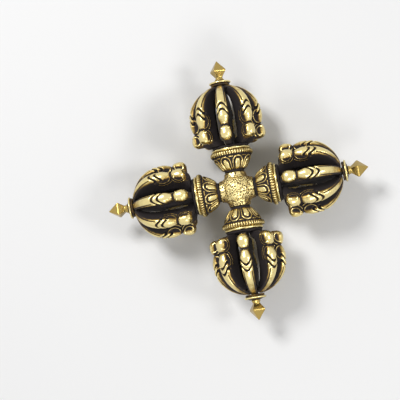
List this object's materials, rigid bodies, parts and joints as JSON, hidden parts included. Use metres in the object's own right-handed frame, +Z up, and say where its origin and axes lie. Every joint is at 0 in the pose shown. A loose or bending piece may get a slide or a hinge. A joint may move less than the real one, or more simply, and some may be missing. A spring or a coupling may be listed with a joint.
{
  "type": "double vajra",
  "caption": "Crossed ritual sceptre of patinated brass, with pronged cage heads on lotus cups around a stippled round hub.",
  "frame": {"origin": "below the middle of the hub, on the surface that the lowest prongs rest on", "axes": "+Z up, square to the crossed arms; +Y along the north arm and +X along the east arm"},
  "size_m": [0.112, 0.112, 0.0316],
  "materials": {
    "cast_brass": "worn, with dark patina",
    "hub_brass": "stippled",
    "bright_brass": "satin"
  },
  "bodies": {
    "root": {"hub": "hub_brass", "north_lotus_cup": "cast_brass", "north_prong_1": "cast_brass", "north_prong_2": "cast_brass", "north_prong_3": "cast_brass", "north_prong_4": "cast_brass", "north_prong_5": "cast_brass", "north_prong_6": "cast_brass", "north_prong_7": "cast_brass", "north_prong_8": "cast_brass", "north_centre_prong": "bright_brass", "north_collar": "cast_brass", "west_lotus_cup": "cast_brass", "west_prong_1": "cast_brass", "west_prong_2": "cast_brass", "west_prong_3": "cast_brass", "west_prong_4": "cast_brass", "west_prong_5": "cast_brass", "west_prong_6": "cast_brass", "west_prong_7": "cast_brass", "west_prong_8": "cast_brass", "west_centre_prong": "bright_brass", "west_collar": "cast_brass", "south_lotus_cup": "cast_brass", "south_prong_1": "cast_brass", "south_prong_2": "cast_brass", "south_prong_3": "cast_brass", "south_prong_4": "cast_brass", "south_prong_5": "cast_brass", "south_prong_6": "cast_brass", "south_prong_7": "cast_brass", "south_prong_8": "cast_brass", "south_centre_prong": "bright_brass", "south_collar": "cast_brass", "east_lotus_cup": "cast_brass", "east_prong_1": "cast_brass", "east_prong_2": "cast_brass", "east_prong_3": "cast_brass", "east_prong_4": "cast_brass", "east_prong_5": "cast_brass", "east_prong_6": "cast_brass", "east_prong_7": "cast_brass", "east_prong_8": "cast_brass", "east_centre_prong": "bright_brass", "east_collar": "cast_brass"}
  },
  "joints": []
}
